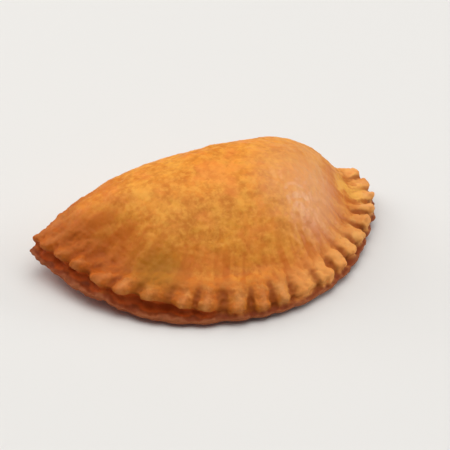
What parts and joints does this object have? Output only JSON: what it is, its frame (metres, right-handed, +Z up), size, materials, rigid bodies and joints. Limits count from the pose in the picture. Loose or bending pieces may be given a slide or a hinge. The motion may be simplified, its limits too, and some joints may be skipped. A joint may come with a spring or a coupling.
{
  "type": "empanada",
  "caption": "Small half-moon baked pastry with a domed filling, a folded back and a crimped edge of two dough sheets.",
  "frame": {"origin": "on the surface it rests on, under the middle of its bounding box", "axes": "+X from the left tip to the right tip, -Y towards the crimped edge, +Y towards the folded side, +Z up"},
  "size_m": [0.0828, 0.0486, 0.0225],
  "materials": {
    "crust": "baked golden crust with a faint egg-wash sheen"
  },
  "bodies": {
    "root": {"crust": "crust"}
  },
  "joints": []
}
